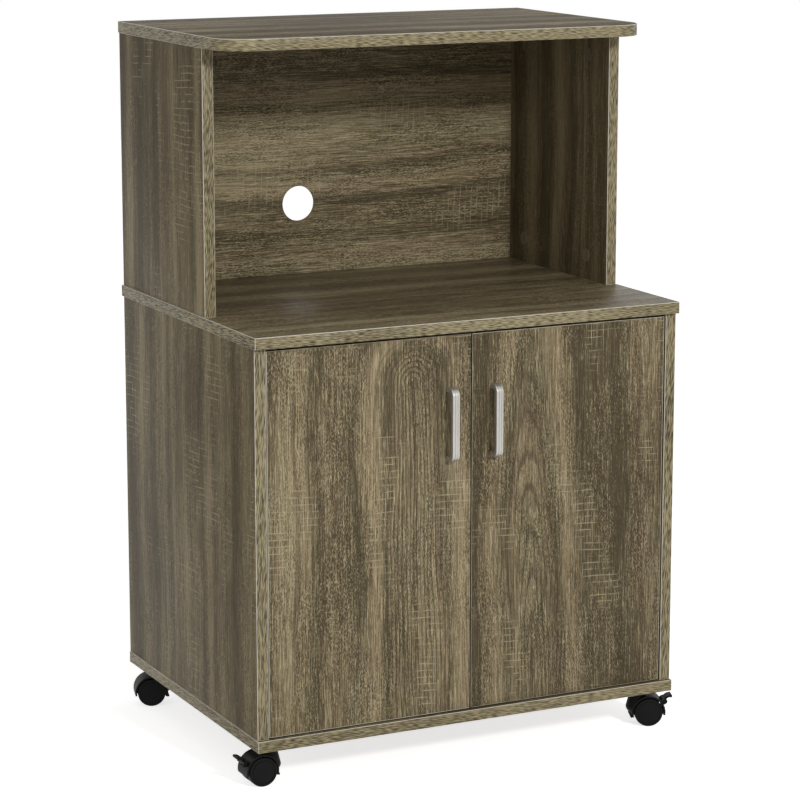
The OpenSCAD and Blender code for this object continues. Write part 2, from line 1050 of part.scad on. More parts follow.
// Half section of a wheel: X is the distance from the axle, Y runs out from the inner face
module wheel_section() {
    r = tread_round;
    difference() {
        union() {
            square([wheel_r - r, rim_w]);
            translate([0, r])
                square([wheel_r, rim_w - 2 * r]);
            for (y = [r, rim_w - r])
                translate([wheel_r - r, y])
                    circle(r);
            intersection() {
                translate([0, wheel_w - dome_r])
                    circle(dome_r);
                translate([0, rim_w - 1])
                    square([dome_edge, dome_h + 2]);
            }
        }
        translate([-cut, -cut])
            square([axle_d / 2 + axle_gap + cut, axle_bite + 0.5 + cut]);
        translate([hub_boss_d / 2 + 2, -cut])
            square([wheel_r - 5 - hub_boss_d / 2 - 2, 4 + cut]);
        translate([dome_edge, rim_w - 0.6])
            square([1, 1]);
    }
}

// A wheel on the side of +Y (1) or -Y (-1)
module wheel(side) {
    translate([trail, side * wheel_gap / 2, wheel_r])
        rotate([-90 * side, 0, 0])
            rotate_extrude()
                wheel_section();
}

module front_left_wheel_left() {
    color(black)
        at_caster(fl)
            wheel(1);
}

module front_left_wheel_right() {
    color(black)
        at_caster(fl)
            wheel(-1);
}

module front_right_wheel_left() {
    color(black)
        at_caster(fr)
            wheel(1);
}

module front_right_wheel_right() {
    color(black)
        at_caster(fr)
            wheel(-1);
}

module rear_left_wheel_left() {
    color(black)
        at_caster(rl)
            wheel(1);
}

module rear_left_wheel_right() {
    color(black)
        at_caster(rl)
            wheel(-1);
}

module rear_right_wheel_left() {
    color(black)
        at_caster(rr)
            wheel(1);
}

module rear_right_wheel_right() {
    color(black)
        at_caster(rr)
            wheel(-1);
}

// A lever from the side: barrel, curved paddle outwards, shoe inwards towards the wheels
module lever_side() {
    mid = (paddle_from + paddle_to) / 2;
    translate([lever_r * cos(lever_angle), lever_r * sin(lever_angle)])
        union() {
            circle(barrel_r);
            rotate(lever_angle + 180 + lever_swing)
                translate([0, -shoe_t / 2])
                    square([shoe_l, shoe_t]);
            translate(paddle_at)
                union() {
                    intersection() {
                        difference() {
                            circle(paddle_r + paddle_t / 2);
                            circle(paddle_r - paddle_t / 2);
                        }
                        polygon([[0, 0], [40 * cos(paddle_from), 40 * sin(paddle_from)],
                                 [40 * cos(mid), 40 * sin(mid)],
                                 [40 * cos(paddle_to), 40 * sin(paddle_to)]]);
                    }
                    translate([paddle_r * cos(paddle_from), paddle_r * sin(paddle_from)])
                        circle(paddle_tip_r);
                }
        }
}

module brake_lever() {
    difference() {
        spread(-lever_w / 2, lever_w / 2)
            lever_side();
        spread(-lever_w, lever_w)
            rotate(lever_angle)
                translate([lever_r, 0])
                    circle(d = lever_pin_d + 2 * lever_pin_gap);
    }
}

module front_left_brake_lever() {
    color(black)
        at_caster(fl)
            brake_lever();
}

module front_right_brake_lever() {
    color(black)
        at_caster(fr)
            brake_lever();
}

module lever_pin() {
    half = lever_w / 2 + lever_gap + lug_t;
    spread(-half, half)
        rotate(lever_angle)
            translate([lever_r, 0])
                circle(d = lever_pin_d);
}

module front_left_lever_pin() {
    color(steel)
        at_caster(fl)
            lever_pin();
}

module front_right_lever_pin() {
    color(steel)
        at_caster(fr)
            lever_pin();
}

bottom_board();
left_side_panel();
right_side_panel();
worktop();
cabinet_back_panel();
hutch_left_side();
hutch_right_side();
hutch_back_panel();
top_board();
adjustable_shelf();
shelf_pins();
cam_locks();
cam_bolts();
cam_covers();
dowels();
left_door();
right_door();
left_handle();
right_handle();
left_handle_screws();
right_handle_screws();
left_hinge_pins();
right_hinge_pins();
left_hinge_bushes();
right_hinge_bushes();
catch_body();
catch_magnets();
catch_screws();
left_strike_plate();
right_strike_plate();
left_strike_screw();
right_strike_screw();
caster_plates();
caster_screws();
swivel_pins();
front_left_hood();
front_right_hood();
rear_left_hood();
rear_right_hood();
front_left_axle();
front_right_axle();
rear_left_axle();
rear_right_axle();
front_left_wheel_left();
front_left_wheel_right();
front_right_wheel_left();
front_right_wheel_right();
rear_left_wheel_left();
rear_left_wheel_right();
rear_right_wheel_left();
rear_right_wheel_right();
front_left_brake_lever();
front_right_brake_lever();
front_left_lever_pin();
front_right_lever_pin();
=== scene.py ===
"""Looks of a rolling microwave cart: boards, doors, handles, fasteners, casters and stage."""
import json
import math
import typing

import bpy
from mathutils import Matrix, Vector


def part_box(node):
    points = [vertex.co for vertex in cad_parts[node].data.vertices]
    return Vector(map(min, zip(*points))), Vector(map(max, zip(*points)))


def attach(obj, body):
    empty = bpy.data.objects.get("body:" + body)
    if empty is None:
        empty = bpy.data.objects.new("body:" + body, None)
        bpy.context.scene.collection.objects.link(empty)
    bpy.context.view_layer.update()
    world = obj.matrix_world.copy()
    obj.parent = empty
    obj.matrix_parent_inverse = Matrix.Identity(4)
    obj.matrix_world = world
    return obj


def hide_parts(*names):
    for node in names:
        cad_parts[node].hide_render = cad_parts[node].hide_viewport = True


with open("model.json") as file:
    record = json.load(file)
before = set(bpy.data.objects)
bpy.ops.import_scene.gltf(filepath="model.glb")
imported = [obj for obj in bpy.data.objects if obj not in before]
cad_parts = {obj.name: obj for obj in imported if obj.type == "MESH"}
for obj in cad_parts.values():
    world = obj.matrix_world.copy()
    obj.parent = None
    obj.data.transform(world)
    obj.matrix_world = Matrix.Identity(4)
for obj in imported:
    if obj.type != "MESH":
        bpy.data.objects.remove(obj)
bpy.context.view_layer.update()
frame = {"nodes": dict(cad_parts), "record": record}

bl_info = {
    "name": "Microwave cart",
    "version": (1, 0, 0),
    "blender": (4, 5, 0),
    "location": "View3D > Sidebar > Cart",
    "description": "Dresses a rolling microwave cart, one group of pieces at a time",
    "category": "Object",
}

RECORD = frame["record"]
BODY_OF = {node: body for body, nodes in RECORD["behaviour"]["bodies"].items() for node in nodes}
CASTERS = ("front_left", "front_right", "rear_left", "rear_right")

# Measures of the wood decor, in metres.
ARCH_SPACING = 0.0058  # between the dark lines of the figure
ARCH_REACH = (0.058, 0.03)  # radii where the figure ends and where it is full
SAW_SPACING = 0.0088  # between the saw marks

# Linear colours of the wood decor.
STREAK_COLOR = (0.052, 0.036, 0.021, 1)
PORE_COLOR = (0.035, 0.027, 0.017, 1)
COOL_TINT = (0.975, 1.005, 0.99, 1)
WARM_TINT = (1.025, 0.995, 0.99, 1)

# Measures of the meshes, in metres.
WELD = 0.000005  # points nearer than this become one
LONG_EDGE = 0.009  # outline edges are longer, facets of rounded corners are shorter
ON_OUTLINE = 0.0005  # an edge this near to the board's outline lies on it
ON_FACE = 0.0002  # an edge this near to one of the board's two faces lies on it
CORNER_REACH = 0.0135  # how far the rounded corners cut into the outline's box

# Material slots of a board.
# The third slot is a pale colour painted on the rounded edges as the highlight they catch.
DECOR, EDGE_BAND, EDGE_HIGHLIGHT, CORE = range(4)

ROUGHNESS_SPREAD = 0.1  # between the roughest and the smoothest spots of a fine texture
LIGHT_AIM = (0.0, 0.0, 0.45)  # the spot that the lights point at, in metres
WHITE = (1, 1, 1, 1)


def srgb(red, green, blue):
    """A linear colour from the usual 0 to 255 numbers."""

    def linear(value):
        value /= 255
        return value / 12.92 if value <= 0.04045 else ((value + 0.055) / 1.055) ** 2.4

    return (linear(red), linear(green), linear(blue))


# Turns in degrees that take a board's axes to those of its grain: across, through, along.
UPRIGHT_FRONT = (0.0, 0.0, 0.0)
UPRIGHT_SIDE = (0.0, 0.0, -90.0)
FLAT_LENGTHWISE = (-90.0, -90.0, 0.0)
BACK_LENGTHWISE = (0.0, -90.0, 0.0)


class Board(typing.NamedTuple):
    """How one board is dressed."""

    axis: int  # the axis along which it is thin: 0, 1 or 2
    turn: tuple  # one of the turns above, in degrees
    place: tuple  # moves the figure: across, through and along the grain, in metres
    taper: float = 0.03  # how fast the arches of the figure close
    figure: float = 0.0  # strength of the dark lines in the figure
    tone: float = 0.0  # lighter above 0, darker below; on the hutch back, the hutch's right side and the top board this is painted light and shade
    bands: float = 1.0  # contrast of the wide bands
    fibres: float = 1.0  # contrast of the fine fibres
    pores: float = 0.6  # strength of the dark pores
    slant: float = 0.04  # slope of the pores against the grain
    saw_marks: float = 0.5  # strength of the pale saw marks
    roughness: float = 0.45  # of the surface between the pores
    gloss: float = 0.2  # specular level


CABINET_BOARDS = {
    "bottom_board": Board(2, FLAT_LENGTHWISE, (0.41, 0.30, 0.10)),
    "left_side_panel": Board(0, UPRIGHT_SIDE, (0.36, 0.10, -0.20), tone=0.02, bands=0.8,
                             fibres=0.65, pores=0.3, saw_marks=1.0, gloss=0.06),
    "right_side_panel": Board(0, UPRIGHT_SIDE, (0.52, 0.70, -0.10), bands=0.9, fibres=0.75,
                              pores=0.3, gloss=0.06),
    "worktop": Board(2, FLAT_LENGTHWISE, (0.47, 0.50, 0.35), bands=0.8, roughness=0.35,
                     gloss=0.28),
    "cabinet_back_panel": Board(1, BACK_LENGTHWISE, (0.45, 0.20, 0.15)),
    "adjustable_shelf": Board(2, FLAT_LENGTHWISE, (0.39, 0.80, 0.60)),
}
HUTCH_BOARDS = {
    "hutch_left_side": Board(0, UPRIGHT_SIDE, (0.33, 0.46, -0.55), bands=0.85, fibres=0.55,
                             pores=0.2, saw_marks=0.9, gloss=0.06),
    # Its tone paints light onto the inner side, which gets little light in the bay.
    "hutch_right_side": Board(0, UPRIGHT_SIDE, (0.44, 0.95, -0.35), tone=0.03, bands=0.7,
                              fibres=0.5, pores=0.2, saw_marks=0.3, gloss=0.1),
    # Its tone paints light onto the back, lifting it to the brightness it has where it is lit.
    "hutch_back_panel": Board(1, BACK_LENGTHWISE, (0.765, 0.60, 0.33), tone=0.08,
                              bands=0.9, fibres=1.2, saw_marks=0.8, gloss=0.1),
    # Its tone paints shade on the top, darker to offset the light that falls on it from above.
    "top_board": Board(2, FLAT_LENGTHWISE, (0.58, 0.15, 0.20), tone=-0.08, roughness=0.5,
                       gloss=0.03),
}
DOOR_BOARDS = {
    "left_door": Board(1, UPRIGHT_FRONT, (0.081, 0.05, -0.512), taper=0.95, figure=1.0,
                       bands=0.98, fibres=1.1, slant=0.1, saw_marks=1.0, gloss=0.12),
    "right_door": Board(1, UPRIGHT_FRONT, (-0.092, 0.45, -0.12), taper=0.11, figure=0.8,
                        tone=-0.11, bands=0.98, pores=0.8, slant=0.2, saw_marks=1.0,
                        gloss=0.12),
}


# ---------------------------------------------------------------- settings


class BoardLook(bpy.types.PropertyGroup):
    """Finish of the decor boards."""

    decor_dark: bpy.props.FloatVectorProperty(
        name="Decor dark", description="Darkest bands of the wood decor", subtype="COLOR",
        size=3, min=0, max=1, default=srgb(76, 66, 48))
    decor_middle: bpy.props.FloatVectorProperty(
        name="Decor middle", description="Middle tone of the wood decor", subtype="COLOR",
        size=3, min=0, max=1, default=srgb(112, 100, 76))
    decor_light: bpy.props.FloatVectorProperty(
        name="Decor light", description="Lightest bands of the wood decor", subtype="COLOR",
        size=3, min=0, max=1, default=srgb(156, 142, 112))
    saw_color: bpy.props.FloatVectorProperty(
        name="Saw marks", description="Pale lines that cross the grain", subtype="COLOR",
        size=3, min=0, max=1, default=srgb(184, 171, 138))
    edge_dark: bpy.props.FloatVectorProperty(
        name="Edge band dark", description="Dark lines in the edge band", subtype="COLOR",
        size=3, min=0, max=1, default=srgb(70, 61, 41))
    edge_light: bpy.props.FloatVectorProperty(
        name="Edge band light", description="Light lines in the edge band", subtype="COLOR",
        size=3, min=0, max=1, default=srgb(164, 152, 119))
    # Painted highlight: a pale colour on the rounded edges that stands for the light they catch.
    line_color: bpy.props.FloatVectorProperty(
        name="Edge line", description="Thin pale line where the edge band is trimmed",
        subtype="COLOR", size=3, min=0, max=1, default=srgb(218, 213, 197))
    core_color: bpy.props.FloatVectorProperty(
        name="Core", description="Chipboard inside the holes", subtype="COLOR",
        size=3, min=0, max=1, default=srgb(176, 150, 112))
    edge_radius: bpy.props.FloatProperty(
        name="Edge radius", description="How far the edges are broken", subtype="DISTANCE",
        unit="LENGTH", min=0.0001, max=0.0015, default=0.0006)
    pore_relief: bpy.props.FloatProperty(
        name="Pore relief", description="Depth of the pressed pores", subtype="DISTANCE",
        unit="LENGTH", min=0, max=0.001, default=0.00012)


class MetalLook(bpy.types.PropertyGroup):
    """Finish of the handles and the small metal pieces."""

    handle_color: bpy.props.FloatVectorProperty(
        name="Handle", description="Satin nickel of the handles", subtype="COLOR",
        size=3, min=0, max=1, default=srgb(184, 182, 176))
    handle_roughness: bpy.props.FloatProperty(
        name="Handle roughness", description="Roughness of the handles", subtype="FACTOR",
        min=0, max=1, default=0.4)
    zinc_color: bpy.props.FloatVectorProperty(
        name="Zinc", description="Zinc plating of the fasteners", subtype="COLOR",
        size=3, min=0, max=1, default=srgb(186, 188, 190))
    zinc_roughness: bpy.props.FloatProperty(
        name="Zinc roughness", description="Roughness of the zinc plating", subtype="FACTOR",
        min=0, max=1, default=0.32)


class PlasticLook(bpy.types.PropertyGroup):
    """Finish of the moulded pieces."""

    black_color: bpy.props.FloatVectorProperty(
        name="Black plastic", description="Colour of the casters", subtype="COLOR",
        size=3, min=0, max=1, default=srgb(10, 10, 10))
    black_roughness: bpy.props.FloatProperty(
        name="Black roughness", description="Roughness of the casters", subtype="FACTOR",
        min=0, max=1, default=0.5)
    cover_color: bpy.props.FloatVectorProperty(
        name="Cam covers", description="Round covers over the cam locks", subtype="COLOR",
        size=3, min=0, max=1, default=srgb(128, 117, 96))


class StageLook(bpy.types.PropertyGroup):
    """Camera, lights and floor."""

    camera_place: bpy.props.FloatVectorProperty(
        name="Camera place", description="Where the camera stands", subtype="XYZ",
        unit="LENGTH", size=3, default=(-1.662, -3.376, 1.204))
    camera_turn: bpy.props.FloatProperty(
        name="Camera turn", description="Turn to the right of straight ahead",
        subtype="ANGLE", unit="ROTATION", default=math.radians(26.26))
    camera_tilt: bpy.props.FloatProperty(
        name="Camera tilt", description="How far the camera looks down", subtype="ANGLE",
        unit="ROTATION", default=math.radians(10.93))
    camera_lens: bpy.props.FloatProperty(
        name="Lens", description="Focal length in millimetres", min=20, max=400,
        default=130.12)
    camera_shift: bpy.props.FloatProperty(
        name="Vertical shift", description="Share of the image width", min=-0.12, max=0.12,
        default=-0.04)
    key_power: bpy.props.FloatProperty(
        name="Main light", description="Power of the light in front in watts", min=0, max=2000,
        default=71.0)
    fill_power: bpy.props.FloatProperty(
        name="Side light", description="Power of the light at the left in watts", min=0,
        max=2000, default=12.0)
    surround: bpy.props.FloatProperty(
        name="Surround", description="Strength of the even light from all round", min=0,
        max=2, default=0.35)
    floor_color: bpy.props.FloatVectorProperty(
        name="Floor", description="Colour of the floor", subtype="COLOR", size=3, min=0,
        max=1, default=(0.86, 0.86, 0.86))
    floor_lift: bpy.props.FloatProperty(
        name="Floor lift", description="How far the floor is lifted to white", min=0, max=1,
        default=0.72)


# ---------------------------------------------------------------- shader nodes


class Tree:
    """Fills one node tree, a node at a time."""

    def __init__(self, tree):
        self.tree = tree

    def fill(self, node, inputs):
        """Puts values or links on a node's inputs."""
        for name, value in inputs.items():
            if isinstance(value, bpy.types.NodeSocket):
                self.tree.links.new(value, node.inputs[name])
            else:
                node.inputs[name].default_value = value

    def add(self, kind, inputs=None, **settings):
        """A new node with its settings and with values or links on its inputs."""
        node = self.tree.nodes.new(kind)
        for name, value in settings.items():
            setattr(node, name, value)
        self.fill(node, inputs or {})
        return node

    def math(self, operation, *values):
        """The result of one calculation."""
        node = self.add("ShaderNodeMath", dict(enumerate(values)), operation=operation)
        return node.outputs[0]

    def vary(self, base, value, amount):
        """The base, plus the amount times how far a value lies above one half."""
        return self.math("MULTIPLY_ADD", self.math("SUBTRACT", value, 0.5), amount, base)

    def noise(self, vector, scale, detail=2.0, shift=(0, 0, 0)):
        """Noise with its own scale along each axis, in cells per metre."""
        place = self.add("ShaderNodeVectorMath", {0: vector, 1: scale, 2: shift},
                         operation="MULTIPLY_ADD")
        node = self.add("ShaderNodeTexNoise", {"Vector": place.outputs[0], "Scale": 1.0,
                                               "Detail": detail})
        return node.outputs[0]

    def line_noise(self, value, scale, detail=2.0, roughness=0.5):
        """Noise along one number, in cells per metre."""
        node = self.add("ShaderNodeTexNoise", {
            "W": self.math("MULTIPLY", value, scale), "Scale": 1.0, "Detail": detail,
            "Roughness": roughness}, noise_dimensions="1D")
        return node.outputs[0]

    def wave(self, value, spacing):
        """A sine wave along one number."""
        return self.math("SINE", self.math("MULTIPLY", value, 2 * math.pi / spacing))

    def level(self, value, low, high, to_low=0.0, to_high=1.0):
        """A value mapped from one range to another and held inside it."""
        node = self.add("ShaderNodeMapRange", {
            "Value": value, "From Min": low, "From Max": high, "To Min": to_low,
            "To Max": to_high})
        return node.outputs[0]

    def mix(self, factor, first, second, blend_type="MIX"):
        """Two colours mixed."""
        node = self.add("ShaderNodeMix", {0: factor, 6: first, 7: second}, data_type="RGBA",
                        blend_type=blend_type)
        return node.outputs[2]


def node_group(name, inputs, outputs):
    """A shader node group with named sockets: the group, its tree, its inputs, its output."""
    group = bpy.data.node_groups.new(name, "ShaderNodeTree")
    for label, kind, value in inputs:
        socket = group.interface.new_socket(label, in_out="INPUT", socket_type=kind)
        if value is not None:
            socket.default_value = value
    for label, kind in outputs:
        group.interface.new_socket(label, in_out="OUTPUT", socket_type=kind)
    tree = Tree(group)
    return group, tree, tree.add("NodeGroupInput").outputs, tree.add("NodeGroupOutput")


# Fields of a board that go into its decor, with the labels of their sockets.
DECOR_LABELS = {field: field.replace("_", " ").title() for field in (
    "taper", "figure", "tone", "bands", "fibres", "pores", "slant", "saw_marks")}


def grain_group():
    """Wood decor: growth rings with a figure, pores, saw marks. Z runs along the grain."""
    if "wood_decor" in bpy.data.node_groups:
        return bpy.data.node_groups["wood_decor"]
    group, tree, inputs, output = node_group("wood_decor", [
        ("Vector", "NodeSocketVector", None),
        *((label, "NodeSocketFloat", 0.0) for label in DECOR_LABELS.values()),
        ("Dark", "NodeSocketColor", (0.08, 0.06, 0.04, 1)),
        ("Middle", "NodeSocketColor", (0.17, 0.14, 0.08, 1)),
        ("Light", "NodeSocketColor", (0.3, 0.26, 0.17, 1)),
        ("Saw Color", "NodeSocketColor", (0.4, 0.35, 0.25, 1)),
    ], [("Color", "NodeSocketColor"), ("Height", "NodeSocketFloat"),
        ("Pore Mask", "NodeSocketFloat")])
    vector = inputs["Vector"]
    axes = tree.add("ShaderNodeSeparateXYZ", {0: vector}).outputs
    wander = tree.noise(vector, (5.0, 5.0, 2.2))
    drift = tree.noise(vector, (13.0, 13.0, 5.0), shift=(4.1, 2.7, 9.3))
    jitter = tree.noise(vector, (70.0, 70.0, 11.0), 3.0)

    # Growth rings: straight below the figure, arched above it.
    across = tree.vary(axes[0], wander, 0.06)
    along = tree.vary(axes[2], drift, 0.05)
    depth = tree.math("MULTIPLY", tree.math("MAXIMUM", along, 0.0), inputs["Taper"])
    radius = tree.math("SQRT", tree.math("ADD", tree.math("MULTIPLY", across, across),
                                         tree.math("MULTIPLY", depth, depth)))
    radius = tree.vary(radius, jitter, 0.006)
    bands = tree.level(tree.line_noise(radius, 26.0, 1.0), 0.32, 0.68)
    rings = tree.level(tree.line_noise(radius, 210.0, 2.0, 0.6), 0.33, 0.67)
    streak = tree.level(tree.line_noise(tree.math("ADD", radius, 3.7), 62.0, 1.0), 0.60, 0.67)
    fade = tree.level(tree.noise(vector, (11.0, 11.0, 3.2), 1.0, shift=(5.5, 6.6, 7.7)),
                      0.42, 0.58)
    streak = tree.math("MULTIPLY", tree.math("MULTIPLY", streak, fade), inputs["Bands"])
    arches = tree.level(tree.wave(radius, ARCH_SPACING), 0.35, 0.95)
    near = tree.math("MULTIPLY", tree.level(radius, *ARCH_REACH), inputs["Figure"])
    arches = tree.math("MULTIPLY", arches, near)

    # Streaks, fibres and speckle along the grain.
    soft = tree.level(tree.noise(vector, (420.0, 420.0, 9.0), 1.0), 0.32, 0.68)
    fibres = tree.level(tree.noise(vector, (1500.0, 1500.0, 22.0), 0.0), 0.30, 0.82)
    fibres = tree.math("SUBTRACT", tree.math("POWER", fibres, 1.6), 0.25)
    speckle = tree.level(tree.noise(vector, (1500.0, 1500.0, 290.0), 0.0), 0.30, 0.82)
    speckle = tree.math("SUBTRACT", tree.math("POWER", speckle, 1.6), 0.25)
    pale = tree.level(tree.noise(vector, (1000.0, 1000.0, 75.0), 0.0, shift=(8.8, 2.1, 5.3)),
                      0.62, 0.80)
    patches = tree.level(tree.noise(vector, (7.0, 7.0, 2.5), 1.0, shift=(7.7, 3.3, 1.1)),
                         0.3, 0.7)
    density = tree.noise(vector, (24.0, 24.0, 8.0), shift=(9.1, 0.4, 6.5))
    rough_patch = tree.level(density, 0.42, 0.64, 0.45, 1.8)
    wide = tree.vary(tree.math("MULTIPLY", tree.math("SUBTRACT", bands, 0.5), 0.8), patches, 0.7)
    tone = tree.math("MULTIPLY_ADD", wide, inputs["Bands"],
                     tree.math("ADD", inputs["Tone"], 0.43))
    tone = tree.vary(tree.vary(tone, rings, 0.09), soft, 0.16)
    fine = tree.math("ADD", fibres, tree.math("MULTIPLY", speckle, rough_patch))
    fine = tree.math("MULTIPLY_ADD", pale, 0.7, fine)
    tone = tree.math("MULTIPLY_ADD", fine, inputs["Fibres"], tone)

    # Pores: short slanting dashes, thicker in some places.
    slant = tree.math("MULTIPLY_ADD", axes[2], inputs["Slant"], axes[0])
    slanted = tree.add("ShaderNodeCombineXYZ", {0: slant, 1: axes[1], 2: axes[2]}).outputs[0]
    dashes = tree.noise(slanted, (1400.0, 1400.0, 50.0), 0.0, shift=(1.3, 5.9, 2.2))
    pores = tree.vary(dashes, density, 0.5)
    pores = tree.math("MULTIPLY", tree.level(pores, 0.60, 0.68), inputs["Pores"])

    # Saw marks: thin pale lines across the grain, in patches.
    tilt = tree.vary(tree.math("MULTIPLY_ADD", axes[0], 0.05, axes[2]), drift, 0.008)
    line = tree.level(tree.wave(tilt, SAW_SPACING), 0.80, 1.0)
    broken = tree.level(tree.noise(vector, (60.0, 60.0, 240.0), shift=(2.2, 8.1, 3.7)),
                        0.42, 0.52)
    threads = tree.level(tree.noise(vector, (700.0, 700.0, 34.0), 1.0, shift=(6.6, 1.2, 4.4)),
                         0.56, 0.68)
    where = tree.level(tree.noise(vector, (17.0, 17.0, 7.5), 1.0, shift=(3.1, 7.7, 1.9)),
                       0.55, 0.66)
    marks = tree.math("MAXIMUM", tree.math("MULTIPLY", line, broken),
                      tree.math("MULTIPLY", threads, 0.7))
    marks = tree.math("MULTIPLY", tree.math("MULTIPLY", marks, where), inputs["Saw Marks"])

    # Colour from the tone, then what lies over it, then the relief.
    color = tree.mix(tree.level(tone, 0.0, 0.5), inputs["Dark"], inputs["Middle"])
    color = tree.mix(tree.level(tone, 0.5, 1.0), color, inputs["Light"])
    color = tree.mix(tree.level(tone, 1.0, 1.9), color, inputs["Saw Color"])
    warmth = tree.level(tree.line_noise(tree.math("ADD", radius, 1.9), 41.0), 0.35, 0.65)
    color = tree.mix(1.0, color, tree.mix(warmth, COOL_TINT, WARM_TINT), "MULTIPLY")
    for mask, amount, over in ((streak, 0.45, STREAK_COLOR), (arches, 0.72, STREAK_COLOR),
                               (pores, 0.6, PORE_COLOR), (marks, 0.65, inputs["Saw Color"])):
        color = tree.mix(tree.math("MULTIPLY", mask, amount), color, over)
    height = tree.math("MULTIPLY_ADD", pores, -1.0, tree.math("MULTIPLY", speckle, 0.25))
    height = tree.math("MULTIPLY_ADD", marks, 0.4, height)
    tree.fill(output, {"Color": color, "Height": height, "Pore Mask": pores})
    return group


def band_group():
    """Edge band: fine wavy lines that run along the edge. Z runs through the board."""
    if "edge_band" in bpy.data.node_groups:
        return bpy.data.node_groups["edge_band"]
    group, tree, inputs, output = node_group("edge_band", [
        ("Vector", "NodeSocketVector", None),
        ("Dark", "NodeSocketColor", (0.12, 0.1, 0.05, 1)),
        ("Light", "NodeSocketColor", (0.33, 0.28, 0.18, 1)),
    ], [("Color", "NodeSocketColor"), ("Height", "NodeSocketFloat")])
    vector = inputs["Vector"]
    axes = tree.add("ShaderNodeSeparateXYZ", {0: vector}).outputs
    sway = tree.noise(vector, (42.0, 42.0, 8.0))
    lifted = tree.vary(axes[2], sway, 0.002)
    lifted = tree.math("MULTIPLY_ADD", tree.math("ADD", axes[0], axes[1]), 0.09, lifted)
    waved = tree.add("ShaderNodeCombineXYZ", {0: axes[0], 1: axes[1], 2: lifted}).outputs[0]
    lines = tree.level(tree.noise(waved, (105.0, 105.0, 1250.0), 0.0), 0.31, 0.67)
    slow = tree.level(tree.noise(vector, (6.0, 6.0, 6.0), 1.0), 0.3, 0.7)
    color = tree.mix(tree.vary(lines, slow, 0.3), inputs["Dark"], inputs["Light"])
    tree.fill(output, {"Color": color, "Height": lines})
    return group


def mould_group():
    """Fine pitted texture of moulded or plated surfaces, with faint cloudiness."""
    if "fine_texture" in bpy.data.node_groups:
        return bpy.data.node_groups["fine_texture"]
    group, tree, inputs, output = node_group("fine_texture", [
        ("Vector", "NodeSocketVector", None),
        ("Grain Size", "NodeSocketFloat", 0.0006),
        ("Roughness", "NodeSocketFloat", 0.4),
        ("Spread", "NodeSocketFloat", 0.1),
    ], [("Roughness", "NodeSocketFloat"), ("Height", "NodeSocketFloat"),
        ("Cloud", "NodeSocketFloat")])
    vector = inputs["Vector"]
    scale = tree.math("DIVIDE", 1.0, inputs["Grain Size"])
    pits = tree.add("ShaderNodeTexNoise", {"Vector": vector, "Scale": scale, "Detail": 2.0})
    cloud = tree.level(tree.noise(vector, (90.0, 90.0, 90.0), 3.0), 0.3, 0.7)
    rough = tree.vary(inputs["Roughness"], cloud, inputs["Spread"])
    tree.fill(output, {"Roughness": rough, "Height": pits.outputs[0], "Cloud": cloud})
    return group


def new_material(name, turn=(0, 0, 0), shift=(0, 0, 0)):
    """A material with its tree, its shader and its mapped object coordinates."""
    material = bpy.data.materials.new(name)
    material.use_nodes = True
    tree = Tree(material.node_tree)
    material.node_tree.nodes.clear()
    place = tree.add("ShaderNodeTexCoord").outputs["Object"]
    mapping = tree.add("ShaderNodeMapping", {"Vector": place, "Location": shift,
                       "Rotation": [math.radians(a) for a in turn]})
    shader = tree.add("ShaderNodeBsdfPrincipled")
    tree.add("ShaderNodeOutputMaterial", {"Surface": shader.outputs[0]})
    return material, tree, shader, mapping.outputs[0]


def darker(color, share):
    """That colour with a share of it taken off."""
    return (*(c * (1 - share) for c in color), 1)


def set_bump(tree, shader, height, distance):
    """Relief of that depth in metres on the shader's normal."""
    bump = tree.add("ShaderNodeBump", {"Height": height, "Distance": distance,
                                       "Strength": 1.0})
    tree.fill(shader, {"Normal": bump.outputs[0]})


def decor_material(name, board):
    """The printed wood decor on a board's faces."""
    look = bpy.context.scene.cart_boards
    material, tree, shader, vector = new_material(name, board.turn, board.place)
    grain = tree.add("ShaderNodeGroup", node_tree=grain_group())
    tree.fill(grain, {"Vector": vector, "Dark": (*look.decor_dark, 1),
                      "Middle": (*look.decor_middle, 1), "Light": (*look.decor_light, 1),
                      "Saw Color": (*look.saw_color, 1)})
    tree.fill(grain, {label: getattr(board, field) for field, label in DECOR_LABELS.items()})
    rough = tree.math("MULTIPLY_ADD", grain.outputs["Pore Mask"], 0.2, board.roughness)
    tree.fill(shader, {"Base Color": grain.outputs["Color"], "Roughness": rough,
                       "Specular IOR Level": board.gloss})
    set_bump(tree, shader, grain.outputs["Height"], look.pore_relief)
    return material


def band_material(name, axis):
    """The edge band of boards that are thin along that axis."""
    if name in bpy.data.materials:
        return bpy.data.materials[name]
    look = bpy.context.scene.cart_boards
    turn = ((0, -90, 0), (90, 0, 0), (0, 0, 0))[axis]
    material, tree, shader, vector = new_material(name, turn)
    band = tree.add("ShaderNodeGroup", node_tree=band_group())
    tree.fill(band, {"Vector": vector, "Dark": (*look.edge_dark, 1),
                     "Light": (*look.edge_light, 1)})
    tree.fill(shader, {"Base Color": band.outputs["Color"], "Roughness": 0.45,
                       "Specular IOR Level": 0.2})
    set_bump(tree, shader, band.outputs["Height"], look.pore_relief * 0.5)
    return material


